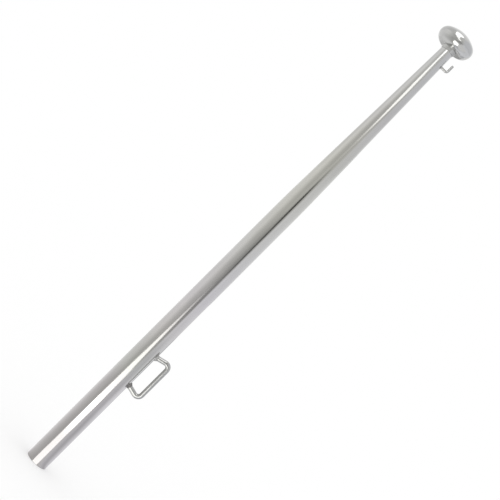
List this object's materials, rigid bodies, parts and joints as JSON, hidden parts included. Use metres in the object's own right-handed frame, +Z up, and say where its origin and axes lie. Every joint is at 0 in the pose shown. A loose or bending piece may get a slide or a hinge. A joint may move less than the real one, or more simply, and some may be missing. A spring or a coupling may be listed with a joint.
{
  "type": "boat stern flagpole",
  "caption": "Tapered polished steel tube with a flattened ball truck, an upturned wire flag hook and a welded rod loop for the halyard.",
  "frame": {"origin": "centre of the foot's end face, on the pole's axis", "axes": "+Z up the pole towards the truck, +X the side where the loop and the hook stand out"},
  "size_m": [0.053, 0.0424, 0.6247],
  "materials": {
    "polished_steel": "polished",
    "weld_steel": "satin"
  },
  "bodies": {
    "root": {"pole_tube": "polished_steel", "truck": "polished_steel", "flag_hook": "polished_steel", "hook_weld": "weld_steel", "halyard_loop": "polished_steel", "loop_weld_lower": "weld_steel", "loop_weld_upper": "weld_steel"}
  },
  "joints": []
}
